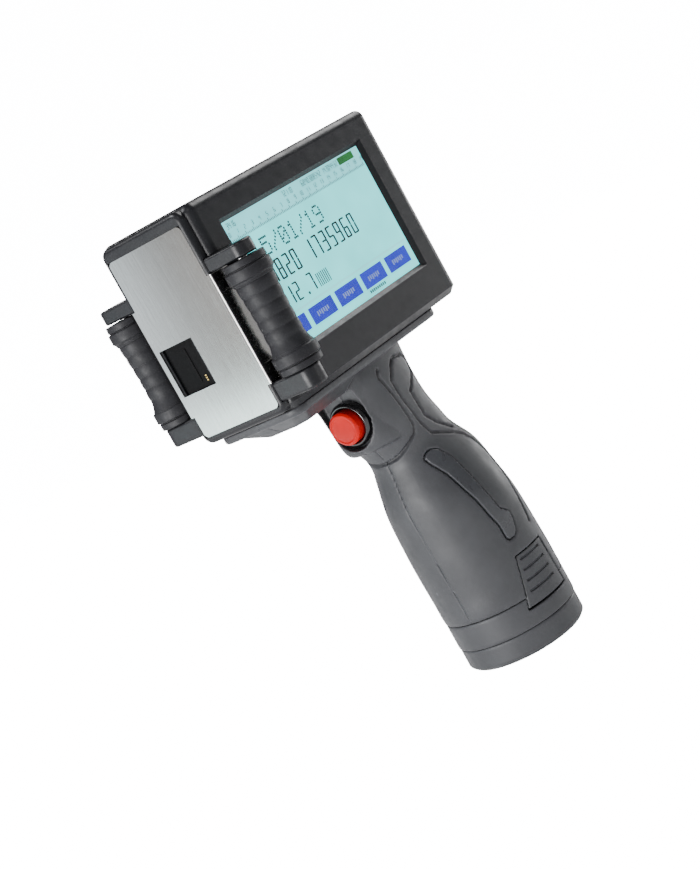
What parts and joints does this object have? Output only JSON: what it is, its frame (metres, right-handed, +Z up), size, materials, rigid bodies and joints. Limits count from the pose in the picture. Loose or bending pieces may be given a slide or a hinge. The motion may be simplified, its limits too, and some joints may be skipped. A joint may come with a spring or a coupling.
{
  "type": "handheld inkjet date coder",
  "caption": "Pistol-grip inkjet coder with a side touch screen, guide rollers beside its printing face, a trigger button and a slide-in battery.",
  "frame": {"origin": "centre of the flat foot of the battery, on which the printer stands", "axes": "+Z up along the handle, -Y out of the printing face, +X out of the screen"},
  "size_m": [0.0848, 0.1312, 0.2236],
  "materials": {
    "black_casing": "fine moulded grain",
    "grey_handle": "fine moulded grain",
    "grey_plastic": "plain moulded",
    "gloss_black": "gloss",
    "white_plastic": "plain moulded",
    "cartridge_plastic": "fine moulded grain",
    "red_button": "gloss",
    "inlay_rubber": "soft matte",
    "black_rubber": "soft matte",
    "stainless": "vertical brushed grain",
    "dark_steel": "blackened",
    "brass": "gilt",
    "magnet": "sintered",
    "circuit": "solder mask",
    "chip": "moulded",
    "screen": "lit display",
    "touch_glass": "clear",
    "lamp": "light pipe",
    "cell_wrap": "shrink wrap",
    "lead_jacket": "flexible jacket"
  },
  "bodies": {
    "printer": {"battery_contact_base": "grey_plastic", "board_chips": "chip", "board_fasteners": "brass", "button_bezel": "gloss_black", "button_contact_block": "chip", "button_nut": "stainless", "button_spring": "stainless", "cartridge_cradle": "grey_plastic", "coin_cell": "stainless", "contact_block": "chip", "door_hinge_pin": "stainless", "encoder_cover": "black_casing", "encoder_sensor": "circuit", "flat_cable": "white_plastic", "front_plate": "stainless", "grip_inlay_left": "inlay_rubber", "grip_inlay_right": "inlay_rubber", "handle_screws": "dark_steel", "handle_shell_left": "grey_handle", "handle_shell_right": "grey_handle", "head_screws": "dark_steel", "head_shell_left": "black_casing", "head_shell_right": "black_casing", "lcd_carrier": "stainless", "lcd_panel": "screen", "main_board": "circuit", "power_inlet": "gloss_black", "power_inlet_pin": "brass", "power_lead": "lead_jacket", "roller_axle_left": "stainless", "roller_axle_right": "stainless", "roller_bracket_left": "black_casing", "roller_bracket_right": "black_casing", "screen_gasket": "black_rubber", "shelf_screws": "dark_steel", "status_lamp": "lamp", "switch_body": "gloss_black", "touch_glass": "touch_glass", "usb_socket": "stainless", "usb_tongue": "white_plastic"},
    "trigger": {"button_cap": "red_button"},
    "roller_left_body": {"roller_core_left": "grey_plastic", "roller_sleeve_left": "black_rubber", "roller_rings_left": "black_rubber", "roller_bushes_left": "brass"},
    "roller_right_body": {"roller_core_right": "grey_plastic", "roller_sleeve_right": "black_rubber", "roller_rings_right": "black_rubber", "roller_bushes_right": "brass", "encoder_magnet": "magnet"},
    "battery": {"battery_foot": "grey_handle", "battery_case": "grey_handle", "battery_cells": "cell_wrap", "battery_pads": "brass"},
    "latch_left": {"battery_latch_left": "grey_handle"},
    "latch_right": {"battery_latch_right": "grey_handle"},
    "door": {"rear_door": "black_casing"},
    "cartridge": {"ink_cartridge": "cartridge_plastic", "nozzle_plate": "brass"},
    "power_rocker": {"switch_rocker": "gloss_black"}
  },
  "joints": [
    {"name": "trigger_press", "type": "slide", "parent": "printer", "child": "trigger", "axis": [0, 1, 0], "range_m": [0, 0.0035], "stiffness_N_per_m": 600, "springref_m": -0.002, "deforming": ["button_spring"]},
    {"name": "roller_left_spin", "type": "hinge", "parent": "printer", "child": "roller_left_body", "pos_m": [-0.0333, -0.0789, 0.1742], "axis": [0, 0, 1], "continuous": true},
    {"name": "roller_right_spin", "type": "hinge", "parent": "printer", "child": "roller_right_body", "pos_m": [0.0333, -0.0789, 0.1742], "axis": [0, 0, 1], "continuous": true},
    {"name": "battery_slide", "type": "slide", "parent": "printer", "child": "battery", "axis": [0, 0, -1], "range_m": [0, 0.055]},
    {"name": "latch_left_flex", "type": "hinge", "parent": "battery", "child": "latch_left", "pos_m": [-0.0252, -0.005, 0.019], "axis": [0, 1, 0], "range_deg": [0, 4.5], "stiffness_Nm_per_rad": 0.6, "springref_deg": -2.86},
    {"name": "latch_right_flex", "type": "hinge", "parent": "battery", "child": "latch_right", "pos_m": [0.0252, -0.005, 0.019], "axis": [0, -1, 0], "range_deg": [0, 4.5], "stiffness_Nm_per_rad": 0.6, "springref_deg": -2.86},
    {"name": "rear_door_swing", "type": "hinge", "parent": "printer", "child": "door", "pos_m": [-0.0194, 0.0397, 0.1822], "axis": [0, 0, 1], "range_deg": [0, 90]},
    {"name": "cartridge_slide", "type": "slide", "parent": "printer", "child": "cartridge", "axis": [0, 1, 0], "range_m": [0, 0.04]},
    {"name": "power_rocker_tip", "type": "hinge", "parent": "printer", "child": "power_rocker", "pos_m": [0.0057, 0.0386, 0.206], "axis": [1, 0, 0], "range_deg": [0, 18]}
  ]
}
